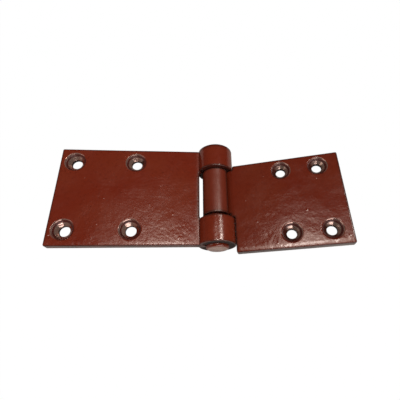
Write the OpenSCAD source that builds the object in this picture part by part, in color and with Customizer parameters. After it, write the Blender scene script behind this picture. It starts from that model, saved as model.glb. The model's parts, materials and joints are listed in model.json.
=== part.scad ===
// Heavy door hinge: two unequal steel leaves with rolled knuckles, turning on one fixed pin.
// Millimetres, +Z up. The origin is the middle of the long leaf's four screw holes, on its
// back face. +X points to the pin, and the pin lies along Y with its showing end at -Y.

/* [Plate] */
// thickness of the steel strip both leaves are cut from
plate_t = 5; // [4:0.5:5]
// radius on the free corners of the leaves
corner_r = 0.9; // [0.8:0.1:3]
// width of the worn edge along the screw side of the leaves
edge_c = 0.5; // [0.2:0.1:0.8]

/* [Long leaf] */
// reach of the long leaf, from the pin's centre line to its free end
long_reach = 96; // [96:1:130]
// width of the long leaf, along the pin
long_width = 63.5; // [62:0.5:70]
// distance from the pin to the outer pair of screw holes
long_outer_holes = 87; // [75:0.5:88]
// distance from the pin to the inner pair of screw holes
long_inner_holes = 50; // [30:0.5:60]
// spacing of the screw holes across the long leaf
long_hole_pitch = 44.6; // [30:0.2:46]

/* [Short leaf] */
// reach of the short leaf, from the pin's centre line to its free end
short_reach = 74; // [72:1:110]
// width of the short leaf, along the pin
short_width = 56; // [55:0.5:58]
// how far the short leaf's middle sits in front of the long leaf's middle
short_shift = 9; // [8.6:0.1:9.4]
// distance from the pin to the outer pair of screw holes
short_outer_holes = 62.6; // [55:0.2:63]
// distance from the pin to the inner pair of screw holes
short_inner_holes = 41.4; // [30:0.2:45]
// spacing of the screw holes across the short leaf
short_hole_pitch = 39.4; // [30:0.2:40]
// how far the front pair steps out and the back pair steps in
short_stagger = 0.9; // [0:0.1:2]
// lift of the short leaf above flat as the hinge lies at rest, in degrees
rest_lift = 16.4; // [0:0.2:60]

/* [Screw holes] */
// diameter of the long leaf's clearance holes
long_hole_d = 6.3; // [5:0.1:7]
// diameter of the long leaf's countersinks at the face
long_sink_d = 13; // [11.6:0.2:13.2]
// diameter of the short leaf's clearance holes
short_hole_d = 5.6; // [5:0.1:6.2]
// diameter of the short leaf's countersinks at the face
short_sink_d = 11.8; // [11:0.1:12.6]
// depth of the straight step above each countersink's cone
sink_step = 0.6; // [0.3:0.1:0.8]
// width of the flat ledge between the step and the cone
sink_ledge = 1; // [0.5:0.1:1.2]

/* [Pin and knuckles] */
// diameter of the pin
pin_d = 12; // [10:0.1:12.4]
// diameter of the head that is set on the front end of the pin
head_d = 13.8; // [12.6:0.1:15]
// length of the head, past the front knuckle
pin_front = 2.2; // [2:0.1:3]
// length of pin showing past the back knuckle
pin_back = 0.6; // [0.2:0.1:2]
// rounding on the pin's head
head_edge = 1.9; // [0.5:0.1:1.9]
// rounding on the back end of the pin
pin_back_edge = 0.5; // [0.2:0.1:0.6]
// outside diameter of the long leaf's front and back knuckles
outer_od = 22; // [20:0.5:22.5]
// outside diameter of the short leaf's middle knuckle
middle_od = 16.4; // [15.5:0.1:17]
// length of the back knuckle
back_knuckle = 15.3; // [14:0.1:15.6]
// length of the front knuckle
front_knuckle = 15.9; // [14:0.1:16]
// gap between the front and middle knuckles
front_gap = 2.5; // [1:0.1:3]
// gap between the middle and back knuckles
back_gap = 0.3; // [0.2:0.1:1]
// gap on the radius where the middle knuckle turns on the pin
turn_gap = 0.05; // [0.02:0.01:0.08]
// gap where the end of each roll comes round to its leaf
seam_w = 0.35; // [0.3:0.05:0.8]
// radius at which a leaf's strip turns down to go under the pin
set_r = 3; // [2.8:0.1:4]

/* [Hidden] */
$fn = 96;
over = 1;                                   // how far a cutter runs past what it cuts
half_w = long_width / 2;
half_t = plate_t / 2;
pin_r = pin_d / 2;
outer_r = outer_od / 2;
middle_r = middle_od / 2;
pin_x = (long_outer_holes + long_inner_holes) / 2;
notch_x = 10.6;                             // pin's centre line to the long leaf's notch
notch_r = 2;                                // radius in the notch's corners
neck_x = 9;                                 // pin's centre line to the short leaf's neck
neck_gap = 0.25;                            // from the neck to the front knuckle's end
clear_r = outer_r + 0.2;                    // where the short leaf starts beside a knuckle
front_y = -half_w;                          // front end of the front knuckle
front_in = front_y + front_knuckle;
back_in = half_w - back_knuckle;
middle_y0 = front_in + front_gap;
middle_y1 = back_in - back_gap;
short_y0 = -short_shift - short_width / 2;
short_y1 = -short_shift + short_width / 2;
short_hole_y = -short_shift + 0.4;          // middle of the short leaf's screw holes
bore_step = 0.15;                           // from the bore up to the strip's turn
touch = 0.1;                                // overlap that joins two neighbouring shapes
outer_set_x = set_x(pin_r, outer_r);
middle_set_x = set_x(pin_r + turn_gap, middle_r);

// how far from the pin's centre line a strip starts to turn down
function set_x(bore_r, roll_r) =
    sqrt(pow((bore_r + roll_r) / 2 + set_r, 2) - pow(set_r, 2));

// the end of a rolled knuckle: the strip turns down, goes under the pin and comes round to
// rest its end just above its own leaf
module knuckle_shape(bore_r, roll_r) {
    x = set_x(bore_r, roll_r);
    low_r = bore_r + bore_step;
    turn_r = (pow(x, 2) + pow(half_t, 2) - pow(low_r, 2)) / (2 * (half_t + low_r));
    end_a = asin((half_t + seam_w) / roll_r);
    difference() {
        union() {
            circle(r = roll_r);
            translate([0, -half_t]) square([x + touch, plate_t]);
        }
        circle(r = bore_r);
        difference() {
            polygon([[0, 0], [x, half_t - turn_r], [x, x * tan(end_a)]]);
            translate([x, half_t - turn_r]) circle(r = turn_r);
        }
    }
}

// a knuckle along Y from y0 to y1, on the pin's centre line
module knuckle(bore_r, roll_r, y0, y1) {
    translate([0, y1, 0]) rotate([90, 0, 0]) linear_extrude(height = y1 - y0)
        knuckle_shape(bore_r, roll_r);
}

// one countersunk screw hole through a plate centred on z = 0, open at the top
module screw_hole(hole_d, sink_d) {
    hole_r = hole_d / 2;
    sink_r = sink_d / 2;
    cone_r = sink_r - sink_ledge;
    translate([0, 0, -half_t - over]) cylinder(r = hole_r, h = plate_t + 2 * over);
    translate([0, 0, half_t - sink_step - (cone_r - hole_r)])
        cylinder(r1 = hole_r, r2 = cone_r, h = cone_r - hole_r);
    translate([0, 0, half_t - sink_step]) cylinder(r = sink_r, h = sink_step + over);
}

// the pair of rounded corners at the free end of a leaf that reaches to x = reach
module end_corners(reach, y0, y1) {
    for (side = [0, 1]) {
        y = side == 0 ? y0 : y1 - corner_r;
        cy = side == 0 ? y0 + corner_r : y1 - corner_r;
        difference() {
            translate([reach - corner_r, side == 0 ? y0 - over : y, -half_t - over])
                cube([corner_r + over, corner_r + over, plate_t + 2 * over]);
            translate([reach - corner_r, cy, -half_t - 2 * over])
                cylinder(r = corner_r, h = plate_t + 4 * over);
        }
    }
}

// worn edges along the top of a leaf: its free end and both sides from x = start outwards
module worn_edges(start, reach, y0, y1) {
    side = edge_c * sqrt(2);
    translate([reach, (y0 + y1) / 2, half_t]) rotate([0, 45, 0])
        cube([side, y1 - y0 + 2 * over, side], center = true);
    for (y = [y0, y1])
        translate([(start + reach + over) / 2, y, half_t]) rotate([45, 0, 0])
            cube([reach + over - start, side, side], center = true);
}

// the short leaf lying along +X from its pin, before it is lifted
module short_leaf_flat() {
    difference() {
        union() {
            translate([clear_r, short_y0, -half_t])
                cube([short_reach - clear_r, short_width, plate_t]);
            translate([middle_set_x, middle_y0, -half_t])
                cube([clear_r + over - middle_set_x, middle_y1 - middle_y0, plate_t]);
            knuckle(pin_r + turn_gap, middle_r, middle_y0, middle_y1);
            translate([neck_x, front_in + neck_gap, -half_t])
                cube([clear_r + over - neck_x, front_gap, plate_t]);
        }
        end_corners(short_reach, short_y0, short_y1);
        worn_edges(clear_r, short_reach, short_y0, short_y1);
        for (far = [0, 1], back = [0, 1])
            translate([(far ? short_outer_holes : short_inner_holes)
                       + (back ? -short_stagger : short_stagger),
                       short_hole_y + (back ? 1 : -1) * short_hole_pitch / 2, 0])
                screw_hole(short_hole_d, short_sink_d);
    }
}

// the long leaf lying along +X from its pin, before it is turned to face -X
module long_leaf_flat() {
    difference() {
        union() {
            translate([outer_set_x, -half_w, -half_t])
                cube([long_reach - outer_set_x, long_width, plate_t]);
            translate([notch_x, front_in, -half_t])
                cube([outer_set_x - notch_x + over, back_in - front_in, plate_t]);
            knuckle(pin_r, outer_r, front_y, front_in);
            knuckle(pin_r, outer_r, back_in, half_w);
            for (y = [front_in - touch, back_in - notch_r])
                translate([notch_x - notch_r, y, -half_t])
                    cube([notch_r + over, notch_r + touch, plate_t]);
        }
        for (y = [front_in + notch_r, back_in - notch_r])
            translate([notch_x - notch_r, y, -half_t - over])
                cylinder(r = notch_r, h = plate_t + 2 * over);
        end_corners(long_reach, -half_w, half_w);
        worn_edges(outer_r + over, long_reach, -half_w, half_w);
        for (x = [long_inner_holes, long_outer_holes], y = [-1, 1])
            translate([x, y * long_hole_pitch / 2, 0]) screw_hole(long_hole_d, long_sink_d);
    }
}

// the leaf with the front and back knuckles, fixed in the frame and lying flat
module long_leaf() {
    color([0.38, 0.13, 0.09])
        translate([pin_x, 0, half_t]) mirror([1, 0, 0]) long_leaf_flat();
}

// the leaf with the middle knuckle, turned up about the pin by its lift at rest
module short_leaf() {
    color([0.38, 0.13, 0.09])
        translate([pin_x, 0, half_t]) rotate([0, -rest_lift, 0]) short_leaf_flat();
}

// half of the outline of one end of the pin, its corner rounded off, from y = 0 inwards
module pin_end_shape(r, edge, length) {
    square([r - edge, length]);
    translate([0, edge]) square([r, length - edge]);
    intersection() {
        translate([r - edge, edge]) circle(r = edge);
        square([r, length]);
    }
}

// the pin, held by the long leaf's two knuckles, its head against the front one
module pin() {
    pin_len = long_width + pin_front + pin_back;
    color([0.33, 0.11, 0.08])
        translate([pin_x, half_w + pin_back, half_t]) rotate([90, 0, 0]) rotate_extrude() {
            pin_end_shape(pin_r, pin_back_edge, pin_len - pin_front + touch);
            translate([0, pin_len]) mirror([0, 1])
                pin_end_shape(head_d / 2, head_edge, pin_front);
        }
}

long_leaf();
short_leaf();
pin();
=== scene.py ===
"""Looks for the door hinge: two rolled steel leaves in red-brown gloss paint on one thick pin.

Each leaf is made as a flat pattern with rounded edges and countersunk holes, then bent along
the line that its steel strip follows: straight, down in a short set, and round the pin.
"""

import json
import math

import bmesh
import bpy
import numpy as np
from mathutils import Matrix, Vector, noise
from mathutils.geometry import delaunay_2d_cdt


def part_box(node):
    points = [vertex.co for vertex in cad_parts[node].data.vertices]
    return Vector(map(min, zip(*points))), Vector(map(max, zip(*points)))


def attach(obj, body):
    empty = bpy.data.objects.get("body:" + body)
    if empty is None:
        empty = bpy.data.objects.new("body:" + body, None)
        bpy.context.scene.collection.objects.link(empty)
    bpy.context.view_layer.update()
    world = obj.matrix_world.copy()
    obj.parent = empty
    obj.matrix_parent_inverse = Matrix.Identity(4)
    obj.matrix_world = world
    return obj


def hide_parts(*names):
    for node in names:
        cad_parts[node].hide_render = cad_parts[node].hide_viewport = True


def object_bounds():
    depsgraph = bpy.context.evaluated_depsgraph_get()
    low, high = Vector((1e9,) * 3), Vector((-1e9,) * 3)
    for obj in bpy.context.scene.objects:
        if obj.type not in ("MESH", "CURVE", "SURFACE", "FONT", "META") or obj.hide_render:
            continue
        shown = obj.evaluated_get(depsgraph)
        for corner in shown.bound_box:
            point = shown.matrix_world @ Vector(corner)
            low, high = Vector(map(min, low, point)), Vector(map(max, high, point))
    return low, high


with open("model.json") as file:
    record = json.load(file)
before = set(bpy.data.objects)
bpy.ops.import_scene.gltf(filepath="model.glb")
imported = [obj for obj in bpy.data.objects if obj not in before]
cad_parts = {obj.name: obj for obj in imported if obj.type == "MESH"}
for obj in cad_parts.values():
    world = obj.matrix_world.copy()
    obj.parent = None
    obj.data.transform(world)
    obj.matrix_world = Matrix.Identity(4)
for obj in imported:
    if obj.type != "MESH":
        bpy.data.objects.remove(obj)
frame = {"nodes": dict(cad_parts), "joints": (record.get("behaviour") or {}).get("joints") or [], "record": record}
CAD_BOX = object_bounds()
MM = 0.001

# ---------------------------------------------------------------- places, read from the frame
record = frame["record"]
mounts = {m["name"]: m for m in record["mounts"]}
joint = frame["joints"][0]
AXIS = Vector(joint["pos_m"])
SHORT_SCREWS = [m for name, m in mounts.items() if name.startswith("short_leaf_screw")]
lift_axis = SHORT_SCREWS[0]["axis"]
LIFT = math.atan2(-lift_axis[0], lift_axis[2])      # the short leaf's lift at rest

# ---------------------------------------------------------------- sizes in millimetres
PLATE = 5.0                 # thickness of the strip
HALF = PLATE / 2
PIN_R = 6.0                 # the pin's radius
TURN_GAP = 0.05             # gap on the radius where the middle knuckle turns
MIDDLE_WALL = 2.15          # the middle knuckle is drawn thinner than its leaf
SET_R = 3.0                 # radius of the set where a strip turns down to go under the pin
SEAM = 0.35                 # gap between a roll's end and its own leaf
LONG_SINK_R = 6.5           # the long leaf's countersinks at the face
SHORT_SINK_R = 5.9          # and the short leaf's
SINK_STEP = 0.6             # depth of the ledge at the top of a countersink
SINK_LEDGE = 1.0            # and its width
CONE_DROP = 0.45            # from the ledge down to the start of the turned cone
CONE_STEPS = 8              # steps down the cone
RIDGE_STEPS = (2, 5)        # the ones where the cutter left a ridge
RIDGE = 0.035               # and the ridge's height
CORNER_R = 0.9              # rounding of the leaves' free corners
LONG_ROLL_R = 1.0           # rounding of the corners of the long leaf's rolled ends
SHORT_ROLL_R = 0.85         # and of the short leaf's, and of its corners beside the knuckles
LONG_SHOULDER = 0.05        # how far the shoulder along the long leaf's front edge sinks
SHORT_SHOULDER = 0.21       # and along the short leaf's
SHOULDER_W = 2.2            # how wide both shoulders are
ROLL_X = 0.75               # the soft corner round a leaf's edge
ROLL_Z = 0.8
BACK_EDGE = 0.4             # rounding along the back of the strip
FRONT_KNUCKLE = 15.9
BACK_KNUCKLE = 15.3
FRONT_GAP = 2.5
BACK_GAP = 0.3
NOTCH = 10.6                # pin's centre line to the edge of the long leaf's notch
NOTCH_R = 2.0
BESIDE = 11.2               # pin's centre line to the short leaf beside the outer knuckles
NECK = 9.0                  # and to its neck beside the gap in front of the middle knuckle
NECK_GAP = 0.25
NECK_BACK_R = 0.4           # radii where the neck meets the middle knuckle,
NECK_FRONT_R = 0.8          # at its own corner
NECK_ROOT_R = 0.3           # and where it meets the leaf
HEAD_LENGTH = 2.2           # the pin's head, in front of the front knuckle
HEAD_EDGE = 1.85            # the head's rounding
TAIL_EDGE = 0.5             # and the back end's
PIN_PLAY = 0.02             # how much thinner than its hole the pin is drawn
RIM_WIDTH = 0.45            # how wide the bright rim of a countersink is
DARK_BAND = 0.5             # how far the painted shade of the ledge runs down the cone
PALE_HIGHLIGHT_SIDE = Vector((0.77, 0.64))    # the side of a countersink made pale as a painted highlight over thin paint
CLOSE = 0.65                # spacing of the mesh near a leaf's edge
ON_BEND = 0.7               # along the part of the strip that is bent
COARSE = 2.2                # and on the flat
FROM_RIM = 0.55             # how near a leaf's outline its grid comes
FROM_HOLE = 0.8             # and how near a screw hole
HOLE_STEPS = 72             # steps round a screw hole
SWELL_LENGTH = 26           # length and height of the plate's swells
SWELL = 0.07
RIPPLES = 3.1               # how many ripples to a swell, and their height
RIPPLE = 0.018

long_lo, long_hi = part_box("long_leaf")
LONG_REACH = (AXIS.x - long_lo.x) / MM
HALF_W = long_hi.y / MM
OUTER_R = (long_hi.x - AXIS.x) / MM


def to_short_leaf(p):
    """A point of the row frame, in millimetres along, across and out of the short leaf."""
    return Matrix.Rotation(LIFT, 3, "Y") @ ((p - AXIS) / MM)


short_points = [to_short_leaf(v.co) for v in frame["nodes"]["short_leaf"].data.vertices]
SHORT_REACH = max(p.x for p in short_points)
SHORT_Y0 = min(p.y for p in short_points)
SHORT_Y1 = max(p.y for p in short_points)
FRONT_IN = -HALF_W + FRONT_KNUCKLE
BACK_IN = HALF_W - BACK_KNUCKLE
MIDDLE_Y0 = FRONT_IN + FRONT_GAP
MIDDLE_Y1 = BACK_IN - BACK_GAP


# ---------------------------------------------------------------- the flat pattern
def rounded_outline(corners, spacing):
    """A closed outline through (x, y, radius) corners, with points spacing(x) apart."""
    n = len(corners)
    arcs = []
    for i, (x, y, r) in enumerate(corners):
        p = Vector((x, y))
        a = (Vector(corners[i - 1][:2]) - p).normalized()
        b = (Vector(corners[(i + 1) % n][:2]) - p).normalized()
        half = math.acos(max(-1.0, min(1.0, a.dot(b)))) / 2
        back = r / math.tan(half)
        centre = p + (a + b).normalized() * (r / math.sin(half))
        start, end = p + a * back, p + b * back
        a0 = math.atan2(start.y - centre.y, start.x - centre.x)
        a1 = math.atan2(end.y - centre.y, end.x - centre.x)
        turn = (a1 - a0 + math.pi) % (2 * math.pi) - math.pi
        steps = max(4, round(abs(turn) * r / 0.35))
        arcs.append([centre + r * Vector((math.cos(a0 + turn * k / steps),
                                          math.sin(a0 + turn * k / steps)))
                     for k in range(steps + 1)])
    points = []
    for i, arc in enumerate(arcs):
        points += arc
        start, end = arc[-1], arcs[(i + 1) % n][0]
        length = (end - start).length
        done = spacing(start.x)
        while done < length - 0.4 * spacing(start.x):
            here = start.lerp(end, done / length)
            points.append(here)
            done += spacing(here.x)
    return points


def inward(points):
    """The inward mitre at each point of an anticlockwise outline."""
    out = []
    for i, p in enumerate(points):
        a = (p - points[i - 1]).normalized()
        b = (points[(i + 1) % len(points)] - p).normalized()
        na, nb = Vector((-a.y, a.x)), Vector((-b.y, b.x))
        m = (na + nb).normalized()
        out.append(m / max(0.5, m.dot(nb)))
    return out


def ramp(value, zero_at, one_at):
    """From 0 to 1 as the value goes from zero_at to one_at, and level past either end."""
    return min(1.0, max(0.0, (value - zero_at) / (one_at - zero_at)))


def edge_profile():
    """(inset, height) steps down a sheared edge: a soft corner, a flat, a small rounding."""
    quarter = [math.pi / 2 * k / 6 for k in range(7)]
    corner = [(ROLL_X * (1 - math.sin(t)), HALF - ROLL_Z * (1 - math.cos(t))) for t in quarter]
    low = HALF - ROLL_Z
    walls = [(0.0, low - (low + HALF - BACK_EDGE) * k / 4) for k in (1, 2, 3)]
    back = [(BACK_EDGE * (1 - math.cos(t)), -HALF + BACK_EDGE * (1 - math.sin(t)))
            for t in quarter[::3]]
    return corner + walls + back


def from_edge(points, outline):
    """Each point's distance from the outline."""
    p = np.array([q[:2] for q in points])
    best = np.full(len(p), 1e9)
    a = np.array([tuple(q) for q in outline])
    for start, end in zip(a, np.roll(a, -1, axis=0)):
        along = end - start
        t = np.clip(((p - start) @ along) / max(1e-12, along @ along), 0, 1)
        best = np.minimum(best, np.hypot(*(p - start - t[:, None] * along).T))
    return best


def sink_profile(hole_r, sink_r):
    """(radius, height) steps down a countersunk hole: soft rim, ledge, turned cone, bore."""
    ledge = HALF - SINK_STEP
    cone_r = sink_r - SINK_LEDGE
    top, low = ledge - CONE_DROP, ledge - (cone_r - hole_r) - 0.2
    rim = [(sink_r + 0.3, HALF), (sink_r + 0.1, HALF - 0.02), (sink_r - 0.05, HALF - 0.1),
           (sink_r - 0.38, HALF - 0.42), (sink_r - 0.5, ledge)]
    wall = [(cone_r + 0.12, ledge), (cone_r, ledge - 0.08), (cone_r - 0.1, ledge - 0.35)]
    cone = []
    for k in range(CONE_STEPS + 1):
        r = cone_r - 0.2 - (cone_r - 0.3 - hole_r) * k / CONE_STEPS
        ridge = RIDGE if k in RIDGE_STEPS else 0.0
        cone.append((r, top + (low - top) * k / CONE_STEPS + ridge))
    bore = [(hole_r + 0.02, low - 0.1), (hole_r, low - 0.25), (hole_r, -HALF + 0.25),
            (hole_r + 0.08, -HALF + 0.07), (hole_r + 0.25, -HALF)]
    return rim + wall + cone + bore


def inside(points, polygon):
    """For each point, whether it is inside the polygon, by crossings."""
    x, y = points[:, 0], points[:, 1]
    result = np.zeros(len(points), bool)
    q = np.array([(p[0], p[1]) for p in polygon])
    for (x0, y0), (x1, y1) in zip(q, np.roll(q, -1, axis=0)):
        if y0 != y1:
            crosses = (y0 > y) != (y1 > y)
            result ^= crosses & (x < (x1 - x0) * (y - y0) / (y1 - y0) + x0)
    return result


def clear_of(points, ring, gap):
    """For each point, whether it is at least gap from every corner of the ring."""
    keep = np.ones(len(points), bool)
    for p in ring:
        keep &= (points[:, 0] - p[0]) ** 2 + (points[:, 1] - p[1]) ** 2 > gap * gap
    return keep


def fill(rings, extra):
    """Triangles, as indices into the rings' points followed by extra, between the rings."""
    points = [p for ring in rings for p in ring] + extra
    edges, base = [], 0
    for ring in rings:
        edges += [(base + i, base + (i + 1) % len(ring)) for i in range(len(ring))]
        base += len(ring)
    made, _, faces, ids, _, _ = delaunay_2d_cdt([Vector(p) for p in points], edges, [], 0, 1e-6)
    middle = np.array([sum((made[i] for i in f), Vector((0, 0))) / 3 for f in faces])
    good = inside(middle, rings[0])
    for hole in rings[1:]:
        good &= ~inside(middle, hole)
    return [tuple(ids[i][0] for i in f) for f, ok in zip(faces, good) if ok]


def flat_leaf(corners, holes, radii, bend_at, nibs):
    """Vertices (along, across, out) and faces of a leaf before it is bent."""

    def spacing(x):
        return ON_BEND if x < bend_at + 1.5 else COARSE

    outline = rounded_outline(corners, spacing)
    mitre = inward(outline)
    verts, faces = [], []

    def skin(rings):
        for upper, lower in zip(rings, rings[1:]):
            n = len(upper)
            for i in range(n):
                j = (i + 1) % n
                faces.append((upper[i], lower[i], lower[j], upper[j]))

    def add(ring):
        start = len(verts)
        verts.extend(ring)
        return list(range(start, len(verts)))

    edge = [add([(p.x + m.x * inset, p.y + m.y * inset, z) for p, m in zip(outline, mitre)])
            for inset, z in edge_profile()]
    skin(edge)
    turns = [2 * math.pi * k / HOLE_STEPS for k in range(HOLE_STEPS)]
    bores = []
    for hx, hy in holes:
        bore = [add([(hx + r * math.cos(t), hy + r * math.sin(t), z) for t in turns])
                for r, z in sink_profile(*radii)]
        skin([b[::-1] for b in bore])
        bores.append(bore)
    coarse = grid_points(corners, spacing, COARSE)
    close = grid_points(corners, lambda x: CLOSE, CLOSE)
    border = ROLL_X + SHOULDER_W
    close = close[from_edge(close, outline) < border + 0.5]
    inner = coarse[from_edge(coarse, outline) > border + 1.0]
    for top in (True, False):
        grid = np.concatenate([close, inner]) if top else coarse
        side = 0 if top else -1
        rings = [edge[side]] + [b[side] for b in bores]
        flat = [[verts[i][:2] for i in ring] for ring in rings]
        keep = inside(grid, flat[0]) & clear_of(grid, flat[0], FROM_RIM)
        for (hx, hy), ring in zip(holes, flat[1:]):
            reach = math.hypot(ring[0][0] - hx, ring[0][1] - hy) + FROM_HOLE
            keep &= (grid[:, 0] - hx) ** 2 + (grid[:, 1] - hy) ** 2 > reach ** 2
        extra = [tuple(p) for p in grid[keep]]
        if top:
            extra = with_nibs(extra, nibs)
        index = [i for ring in rings for i in ring] + add([(*p, HALF if top else -HALF)
                                                           for p in extra])
        for tri in fill(flat, extra):
            faces.append(tuple(index[i] for i in (tri if top else tri[::-1])))
    return verts, faces


def grid_points(corners, spacing, row):
    """A grid over the outline's box, its columns spacing(x) apart and its rows row apart."""
    xs = [c[0] for c in corners]
    ys = [c[1] for c in corners]
    columns, x = [], min(xs) + 0.7
    while x < max(xs):
        columns.append(x)
        x += spacing(x)
    rows = np.arange(min(ys) + row / 2, max(ys), row)
    return np.array([(cx, cy + (row / 4 if i % 2 else 0)) for i, cx in enumerate(columns)
                     for cy in rows])


def with_nibs(points, nibs):
    """The points, with rings of closer ones round each (x, y, radius, height) paint nib."""
    kept = [p for p in points
            if all(math.hypot(p[0] - x, p[1] - y) > r * 2.2 for x, y, r, _ in nibs)]
    for x, y, r, _ in nibs:
        kept.append((x, y))
        for k, ring in enumerate((0.4, 0.8, 1.3, 1.9)):
            kept += [(x + r * ring * math.cos(math.pi / 4 * i + k * 0.4),
                      y + r * ring * math.sin(math.pi / 4 * i + k * 0.4)) for i in range(8)]
    return kept


# ---------------------------------------------------------------- bending the strip
class Strip:
    """The line a strip follows: straight, down in a set, and round the pin to its seam."""

    def __init__(self, bore_r, wall):
        self.wall = wall
        self.mid_r = bore_r + wall / 2
        reach = self.mid_r + SET_R
        self.bend_at = math.sqrt(reach ** 2 - SET_R ** 2)
        self.set_turn = math.asin(self.bend_at / reach)
        seam_at = math.asin((HALF + SEAM) / (bore_r + wall))
        self.roll_turn = 2 * math.pi - seam_at - (math.pi / 2 - self.set_turn)
        self.end = self.bend_at - SET_R * self.set_turn - self.mid_r * self.roll_turn

    def thin(self, s):
        """The strip's thickness at s, as a share of the plate's."""
        along = (self.bend_at + 1.5 - s) / (SET_R * self.set_turn + 1.5)
        along = max(0.0, min(1.0, along))
        return 1 + (self.wall / PLATE - 1) * along * along * (3 - 2 * along)

    def place(self, s, w):
        """Where a point at s along the strip and w out of its middle lies, as (along, out)."""
        w *= self.thin(s)
        gone = self.bend_at - s
        if gone <= 0:
            return s, w
        if gone < SET_R * self.set_turn:
            a = gone / SET_R
            return (self.bend_at - (SET_R + w) * math.sin(a),
                    -SET_R + (SET_R + w) * math.cos(a))
        a = self.set_turn - math.pi / 2 - (gone - SET_R * self.set_turn) / self.mid_r
        return (self.mid_r - w) * math.cos(a), (self.mid_r - w) * math.sin(a)


def wave(x, y, seed):
    """The slight unevenness of pressed plate: broad swells with small ripples on them."""
    q = Vector((x / SWELL_LENGTH + seed, y / SWELL_LENGTH, seed * 0.7))
    return SWELL * noise.noise(q) + RIPPLE * noise.noise(q * RIPPLES)


MARKS = ("edge", "worn", "dark_edge", "turned", "ledge", "bore", "end")


def paint_marks(verts, corners, holes, radii, bend_at, worn):
    """How strong each change in the paint is at each vertex, from 0 to 1.

    edge        the plate's sides
    worn        where worn, given the distance past the bend, says so
    dark_edge   painted shade along the outline of the leaf
    turned      thin paint on one side of a countersink's rim and cone, pale as a painted highlight
    ledge       painted shade on the band between the two
    bore        painted shade in the straight part of a screw hole
    end         painted shade on the front end of the front knuckle
    """
    hole_r, sink_r = radii
    front = min(c[1] for c in corners)
    dark_in = sink_r - SINK_LEDGE - DARK_BAND
    dark_out = sink_r - RIM_WIDTH
    bore_top = HALF - SINK_STEP - (sink_r - SINK_LEDGE - hole_r) - 0.25
    marks = {mark: [] for mark in MARKS}
    for (x, y, w), inset in zip(verts, from_edge(verts, [c[:2] for c in corners])):
        hx, hy = min(holes, key=lambda h: math.hypot(x - h[0], y - h[1]))
        away = Vector((x - hx, y - hy))
        r = away.length
        # which side of a countersink gets the pale paint of a painted highlight
        thin = ramp(away.normalized().dot(PALE_HIGHLIGHT_SIDE), -0.3, 0.7)
        side = abs(w) < HALF - 0.5
        # painted shade along the outline, in a narrower band along the front edge
        dark_from = 1.1 if y > front + 1.5 else 0.7
        on_rim = w > 0 and dark_out < r < sink_r
        on_cone = w > bore_top and r < dark_in
        on_end = side and x < bend_at - 4 and y < front + 1
        marks["edge"].append(float(side))
        marks["worn"].append(worn(x - bend_at))
        marks["dark_edge"].append(ramp(inset, dark_from, dark_from - 0.5))
        marks["turned"].append(thin if on_rim or on_cone else 0.0)
        marks["ledge"].append(float(w > 0 and dark_in < r < dark_out))
        marks["bore"].append(float(w < bore_top and r < hole_r + 0.3))
        marks["end"].append(ramp(w, -2.6, -1.4) if on_end else 0.0)
    return marks


def bent_leaf(name, corners, holes, radii, strip, nibs, seed, shoulder, worn, place):
    """A finished leaf: the flat pattern bent along its strip and set in the row frame."""
    verts, faces = flat_leaf(corners, holes, radii, strip.bend_at, nibs)
    front = min(c[1] for c in corners)
    points = []
    for x, y, w in verts:
        sink = shoulder * max(0.0, 1 - max(0.0, y - front - ROLL_X) / SHOULDER_W) ** 2
        lift = wave(x, y, seed) - sink * max(0.0, w / HALF)
        if w > 0:
            for nx, ny, r, h in nibs:
                lift += h * math.exp(-((x - nx) ** 2 + (y - ny) ** 2) / (r * r * 0.6))
        along, out = strip.place(x, w + lift)
        points.append(place(along, y, out))
    mesh = bpy.data.meshes.new(name)
    mesh.from_pydata(points, [], faces)
    marks = paint_marks(verts, corners, holes, radii, strip.bend_at, worn)
    for mark, values in marks.items():
        mesh.attributes.new(mark, "FLOAT", "POINT").data.foreach_set("value", values)
    bm = bmesh.new()
    bm.from_mesh(mesh)
    bmesh.ops.recalc_face_normals(bm, faces=bm.faces)
    bm.to_mesh(mesh)
    bm.free()
    mesh.shade_smooth()
    obj = bpy.data.objects.new(name, mesh)
    bpy.context.scene.collection.objects.link(obj)
    even = obj.modifiers.new("even_normals", "WEIGHTED_NORMAL")
    even.weight = 80
    return obj


def in_long_leaf(along, y, out):
    """Where a point of the long leaf lies in the row frame."""
    return AXIS + Vector((-along, y, out)) * MM


SHORT_TURN = Matrix.Rotation(-LIFT, 3, "Y")


def in_short_leaf(along, y, out):
    """Where a point of the short leaf lies in the row frame, lifted as it is at rest."""
    return AXIS + SHORT_TURN @ Vector((along, y, out)) * MM


def long_leaf():
    """The leaf with the front and back knuckles, two arms with the notch between them."""
    strip = Strip(PIN_R, OUTER_R - PIN_R)
    end, small = strip.end, LONG_ROLL_R
    corners = [(LONG_REACH, -HALF_W, CORNER_R), (LONG_REACH, HALF_W, CORNER_R),
               (end, HALF_W, small), (end, BACK_IN, small),
               (NOTCH, BACK_IN, NOTCH_R), (NOTCH, FRONT_IN, NOTCH_R),
               (end, FRONT_IN, small), (end, -HALF_W, small)]
    m = mounts["long_leaf_screws"]
    dx, dy = m["dims"]["spacing_x_mm"] / 2, m["dims"]["spacing_y_mm"] / 2
    middle = (AXIS.x - m["pos_m"][0]) / MM
    holes = [(middle + i * dx, m["pos_m"][1] / MM + j * dy) for i in (-1, 1) for j in (-1, 1)]
    nibs = [(67, -2.5, 0.7, 0.16), (94, -25.5, 0.6, 0.14), (69, -19, 0.55, 0.12),
            (34, 6, 0.5, 0.1), (26, -13, 0.6, 0.12), (80, 11, 0.45, 0.1),
            (57.5, 27, 0.5, 0.1), (22, -27.5, 0.7, 0.14), (40, -6.5, 0.45, 0.1)]
    radii = m["dims"]["hole_r_mm"], LONG_SINK_R
    return bent_leaf("long_leaf_painted", corners, holes, radii, strip, nibs, 3.1, LONG_SHOULDER,
                     lambda past_bend: max(0.0, 0.9 - abs(past_bend + 0.5) / 3), in_long_leaf)


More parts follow.
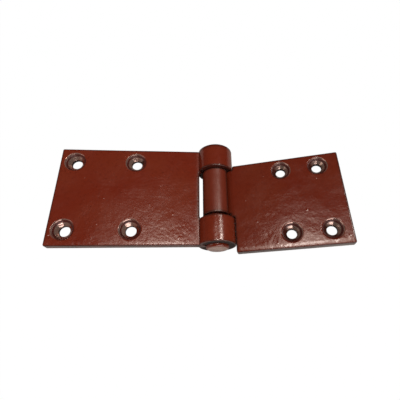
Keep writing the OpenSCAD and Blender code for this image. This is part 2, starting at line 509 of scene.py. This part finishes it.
def short_leaf():
    """The leaf with the middle knuckle, one arm with a neck at its front side."""
    strip = Strip(PIN_R + TURN_GAP, MIDDLE_WALL)
    end, small = strip.end, SHORT_ROLL_R
    corners = [(SHORT_REACH, SHORT_Y1, CORNER_R), (BESIDE, SHORT_Y1, small),
               (BESIDE, MIDDLE_Y1, small), (end, MIDDLE_Y1, small),
               (end, MIDDLE_Y0, small), (NECK, MIDDLE_Y0, NECK_BACK_R),
               (NECK, FRONT_IN + NECK_GAP, NECK_FRONT_R),
               (BESIDE, FRONT_IN + NECK_GAP, NECK_ROOT_R),
               (BESIDE, SHORT_Y0, small), (SHORT_REACH, SHORT_Y0, CORNER_R)]
    holes = [tuple(to_short_leaf(Vector(m["pos_m"])))[:2] for m in SHORT_SCREWS]
    nibs = [(52, -16, 0.6, 0.14), (71, -33, 0.7, 0.16), (30, 9, 0.5, 0.1),
            (24, -20, 0.6, 0.12), (60, 3, 0.45, 0.1), (34, -33.5, 0.55, 0.12),
            (18, -6, 0.5, 0.1)]
    radii = SHORT_SCREWS[0]["dims"]["r_mm"], SHORT_SINK_R
    return bent_leaf("short_leaf_painted", corners, holes, radii, strip, nibs, 8.4, SHORT_SHOULDER,
                     lambda past_bend: ramp(past_bend, 0, -2), in_short_leaf)


def pin_end(y, inwards, r, edge, crown):
    """(radius, y) from the middle of one end of the pin, over its rounded edge, to its side."""
    flat_r = r - edge
    line = [(flat_r * k, y + inwards * crown * k * k) for k in (0, 0.25, 0.5, 0.75)]
    for i in range(9):
        t = math.pi / 2 * i / 8
        line.append((flat_r + edge * math.sin(t), y + inwards * (crown + edge * (1 - math.cos(t)))))
    return line


def pin():
    """The pin, turned from its profile: a soft-edged head, a straight shaft, a crowned end."""
    lo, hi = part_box("pin")
    y0, y1 = lo.y / MM, hi.y / MM
    r, head_r = PIN_R - PIN_PLAY, (hi.x - lo.x) / 2 / MM
    seat = y0 + HEAD_LENGTH
    shaft = [(head_r, seat - 0.05), (head_r - 0.05, seat), (r, seat)]
    shaft += [(r, seat + (y1 - seat) * k / 8) for k in range(1, 8)]
    profile = pin_end(y0, 1, head_r, HEAD_EDGE, 0.15)
    profile += shaft + pin_end(y1, -1, r, TAIL_EDGE, 0.05)[::-1]
    bm = bmesh.new()
    line = [bm.verts.new((AXIS.x + p[0] * MM, p[1] * MM, AXIS.z)) for p in profile]
    edges = [bm.edges.new(pair) for pair in zip(line, line[1:])]
    bmesh.ops.spin(bm, geom=line + edges, cent=AXIS, axis=(0, 1, 0), angle=2 * math.pi,
                   steps=96, use_merge=True)
    bmesh.ops.remove_doubles(bm, verts=bm.verts, dist=1e-6)
    bmesh.ops.recalc_face_normals(bm, faces=bm.faces)
    mesh = bpy.data.meshes.new("pin_painted")
    bm.to_mesh(mesh)
    bm.free()
    mesh.attributes.new("turned", "FLOAT", "POINT").data.foreach_set(
        "value", [1.0 if v.co.y / MM < y0 + 0.4 else 0.0 for v in mesh.vertices])
    mesh.shade_smooth()
    obj = bpy.data.objects.new("pin_painted", mesh)
    bpy.context.scene.collection.objects.link(obj)
    return obj


# ---------------------------------------------------------------- materials
class Nodes:
    """A short way to add and join shader nodes."""

    def __init__(self, name):
        self.material = bpy.data.materials.new(name)
        self.material.use_nodes = True
        self.tree = self.material.node_tree
        self.shader = self.tree.nodes["Principled BSDF"]

    def add(self, kind, **values):
        node = self.tree.nodes.new(kind)
        for key, value in values.items():
            if key in node.inputs:
                node.inputs[key].default_value = value
            else:
                setattr(node, key, value)
        return node

    def join(self, a, b):
        self.tree.links.new(a, b)

    def noise(self, where, scale, detail=4.0, rough=0.5):
        node = self.add("ShaderNodeTexNoise", Scale=scale, Detail=detail, Roughness=rough)
        self.join(where, node.inputs["Vector"])
        return node.outputs["Fac"]

    def remap(self, value, a, b, c, d):
        """The value's range a to b spread over c to d, and level past either end."""
        node = self.add("ShaderNodeMapRange", clamp=True)
        for key, number in zip(("From Min", "From Max", "To Min", "To Max"), (a, b, c, d)):
            node.inputs[key].default_value = number
        self.join(value, node.inputs["Value"])
        return node.outputs["Result"]

    def upto(self, share, most):
        """A share from 0 to 1 scaled to go from 0 to most."""
        return self.remap(share, 0, 1, 0, most)

    def combine(self, operation, a, b):
        node = self.add("ShaderNodeMath", operation=operation)
        self.join(a, node.inputs[0])
        self.join(b, node.inputs[1])
        return node.outputs[0]

    def mix(self, share, a, b):
        node = self.add("ShaderNodeMix", data_type="RGBA")
        self.join(share, node.inputs["Factor"])
        for socket, value in ((node.inputs["A"], a), (node.inputs["B"], b)):
            if isinstance(value, tuple):
                socket.default_value = (*value, 1)
            else:
                self.join(value, socket)
        return node.outputs["Result"]


PAINT = (0.125, 0.0140, 0.0050)
PAINT_DARK = (0.090, 0.0095, 0.0035)
PAINT_BROWN = (0.135, 0.0210, 0.0085)
THIN_PAINT_HIGHLIGHT = (0.400, 0.2900, 0.2500)            # thin paint over the cutter's marks, pale as a painted highlight
SHADE_AND_CHIP_DARK = (0.012, 0.0070, 0.0060)            # painted shade for the bores, the knuckle's end and the outline, and dark chips on the sides
LEDGE_SHADE = (0.045, 0.0045, 0.0025)           # painted shade on the countersinks' ledges
MORE_ROUGH = {"edge": 0.04, "worn": 0.2, "turned": -0.08, "ledge": 0.2, "bore": 0.5, "end": 0.6}


def paint(name, tint=1.0, rough_range=(0.15, 0.27), grain=0.35, side_shade=0.0):
    """Red-brown gloss paint, brushed on by hand: uneven in depth of colour and in gloss."""
    n = Nodes(name)
    where = n.add("ShaderNodeTexCoord").outputs["Object"]
    mask = {mark: n.add("ShaderNodeAttribute", attribute_name=mark).outputs["Fac"]
            for mark in MARKS}
    plain, dark, brown = (tuple(c * tint for c in colour)
                          for colour in (PAINT, PAINT_DARK, PAINT_BROWN))
    colour = n.mix(n.remap(n.noise(where, 34, 3), 0.35, 0.68, 0, 1), plain, brown)
    colour = n.mix(n.remap(n.noise(where, 420, 3, 0.6), 0.5, 0.75, 0, 0.5), colour, dark)
    # wear and chips; painted shade on the outline, ledges, bores and knuckle end; a painted highlight where the
    # paint is thin
    colour = n.mix(n.upto(mask["worn"], 0.5), colour, PAINT_BROWN)
    # painted shade along the outline
    colour = n.mix(n.upto(mask["dark_edge"], 0.65), colour, SHADE_AND_CHIP_DARK)
    # dark chips on the plate's sides; where a paint gives them a floor, as the short leaf's does, that share is
    # painted shade over all its sides
    chips_and_shade = n.remap(n.noise(where, 260, 3), 0.46, 0.6, side_shade, 0.85)
    colour = n.mix(n.combine("MULTIPLY", mask["edge"], chips_and_shade), colour, SHADE_AND_CHIP_DARK)
    marred = n.remap(n.noise(where, 700, 3, 0.6), 0.3, 0.6, 0.6, 1)
    thin = n.combine("MULTIPLY", mask["turned"], marred)
    # thin paint on one side of each countersink, pale and metallic: a painted highlight
    colour = n.mix(n.upto(thin, 0.85), colour, THIN_PAINT_HIGHLIGHT)
    # painted shade on the ledge of each countersink
    colour = n.mix(n.upto(mask["ledge"], 0.9), colour, LEDGE_SHADE)
    # painted shade in the bores and on the front end of the front knuckle
    hole_and_end_shade = n.combine("ADD", mask["bore"], mask["end"])
    colour = n.mix(n.upto(hole_and_end_shade, 0.9), colour, SHADE_AND_CHIP_DARK)
    n.join(colour, n.shader.inputs["Base Color"])
    n.join(n.upto(thin, 0.75), n.shader.inputs["Metallic"])
    rough = n.remap(n.noise(where, 90, 4, 0.6), 0.3, 0.7, *rough_range)
    for mark, more in MORE_ROUGH.items():
        rough = n.combine("ADD", rough, n.upto(mask[mark], more))
    n.join(rough, n.shader.inputs["Roughness"])
    n.shader.inputs["IOR"].default_value = 1.45
    # fine orange peel over the flow of the brush
    peel = n.add("ShaderNodeBump", Strength=grain, Distance=0.0002)
    n.join(n.noise(where, 650, 2), peel.inputs["Height"])
    flow = n.add("ShaderNodeBump", Strength=0.35, Distance=0.0006)
    n.join(n.noise(where, 150, 3), flow.inputs["Height"])
    n.join(peel.outputs["Normal"], flow.inputs["Normal"])
    n.join(flow.outputs["Normal"], n.shader.inputs["Normal"])
    return n.material


def floor_material(name, brightness, back_glow, front_glow):
    """A plain pale sheet; its glow is how much light it gives off behind and in front."""
    n = Nodes(name)
    where = n.add("ShaderNodeTexCoord").outputs["Object"]
    pale = tuple(brightness * k for k in (1, 0.99, 0.98))
    colour = n.mix(n.noise(where, 6, 2), pale, tuple(c * 0.97 for c in pale))
    n.join(colour, n.shader.inputs["Base Color"])
    n.shader.inputs["Roughness"].default_value = 1.0
    n.shader.inputs["Specular IOR Level"].default_value = 0.0
    n.shader.inputs["Emission Color"].default_value = (1, 1, 1, 1)
    across = n.add("ShaderNodeSeparateXYZ")
    n.join(where, across.inputs[0])
    glow = n.remap(across.outputs["Y"], -0.03, 0.01, front_glow, back_glow)
    n.join(glow, n.shader.inputs["Emission Strength"])
    return n.material


# ---------------------------------------------------------------- the object
long_paint = paint("red_brown_gloss_paint")
# the same paint as the long leaf's, made darker as painted shade for the short leaf's tilt away from the lights
short_paint = paint("red_brown_gloss_paint_shaded", tint=0.84, rough_range=(0.13, 0.24),
                    grain=0.2, side_shade=0.7)
pin_paint = paint("red_brown_pin_paint", tint=0.85)
PIECES = [(long_leaf(), "long_leaf_and_pin", "long_leaf", long_paint, "leaf_paint"),
          (short_leaf(), "short_leaf_body", "short_leaf", short_paint, "leaf_paint"),
          (pin(), "long_leaf_and_pin", "pin", pin_paint, "pin_paint")]
for piece, body, node, material, slot in PIECES:
    piece.data.materials.append(material)
    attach(piece, body)
    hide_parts(node)

# ---------------------------------------------------------------- floor, lights, camera
def sheet(name, drop, material):
    """A flat sheet below the hinge, drop metres under its lowest point."""
    bpy.ops.mesh.primitive_plane_add(size=6, location=(AXIS.x, 0, CAD_BOX[0].z - drop))
    obj = bpy.context.object
    obj.name = name
    obj.data.materials.append(material)
    return obj


# one floor is only seen, evenly white, and the other only throws light on the hinge
floor = sheet("floor", 0.0012, floor_material("white_floor", 0.02, 1.0, 1.0))
floor.visible_diffuse = floor.visible_glossy = floor.visible_shadow = False
bounce = sheet("floor_bounce", 0.0004, floor_material("bounce_floor", 0.5, 0.0, 0.1))
bounce.visible_camera = False


def area_light(name, towards, distance, size, power, colour):
    """A soft rectangular light, placed by its direction from the hinge and facing it."""
    data = bpy.data.lights.new(name, "AREA")
    data.shape = "RECTANGLE"
    data.size, data.size_y = size
    data.energy = power
    data.color = colour
    obj = bpy.data.objects.new(name, data)
    d = Vector(towards).normalized()
    obj.location = AXIS + d * distance
    obj.rotation_mode = "QUATERNION"
    obj.rotation_quaternion = d.to_track_quat("Z", "Y")
    bpy.context.scene.collection.objects.link(obj)
    return obj


# the key and top lights shine off the knuckles and the flats, the strip off the short leaf's
# front edge, and the low front window out of the countersinks
area_light("key_light", (0.34, 0.26, 1), 1.2, (0.2, 0.2), 5.8, (1, 0.88, 0.78))
area_light("top_light", (-0.12, 0.07, 1), 1.3, (0.52, 0.52), 5.4, (1, 0.80, 0.68))
area_light("top_strip", (-0.13, 0.06, 1), 1.3, (0.28, 0.1), 3.1, (1, 0.88, 0.8))
area_light("left_fill", (-1.5, -0.4, 0.6), 1.4, (0.7, 0.7), 2.8, (1, 0.82, 0.72))
area_light("front_window", (0.28, -0.9, 0.36), 1.2, (1.1, 0.4), 8.6, (1, 0.9, 0.87))

world = bpy.data.worlds.new("studio")
bpy.context.scene.world = world
world.use_nodes = True
world.node_tree.nodes["Background"].inputs["Color"].default_value = (1, 0.9, 0.82, 1)
world.node_tree.nodes["Background"].inputs["Strength"].default_value = 0.05

LENS = 25.0                                     # on a sensor 36 mm wide
CAMERA_AT = Vector((-13.6, -77.0, 157.0))       # from the pin's centre line, in millimetres
LOOK_DOWN = math.radians(66.65)
LOOK_RIGHT = math.radians(11.56)
ROLL = math.radians(10.80)
SHIFT = (-0.0405, 0.0353)                       # of the picture, as a share of its width


def camera():
    """The camera at the photo's angle."""
    data = bpy.data.cameras.new("camera")
    data.sensor_width = 36.0
    data.lens = LENS
    data.shift_x, data.shift_y = SHIFT
    data.clip_start, data.clip_end = 0.01, 20
    obj = bpy.data.objects.new("camera", data)
    ahead = Vector((math.sin(LOOK_RIGHT) * math.cos(LOOK_DOWN),
                    math.cos(LOOK_RIGHT) * math.cos(LOOK_DOWN), -math.sin(LOOK_DOWN)))
    level = Vector((math.cos(LOOK_RIGHT), -math.sin(LOOK_RIGHT), 0))
    above = level.cross(ahead)
    right = level * math.cos(ROLL) + above * math.sin(ROLL)
    up = above * math.cos(ROLL) - level * math.sin(ROLL)
    turn = Matrix((right, up, -ahead)).transposed()
    obj.matrix_world = Matrix.Translation(Vector((AXIS.x, 0, 0)) + CAMERA_AT * MM) @ turn.to_4x4()
    bpy.context.scene.collection.objects.link(obj)
    bpy.context.scene.camera = obj


camera()
bpy.context.scene.view_settings.view_transform = "Standard"
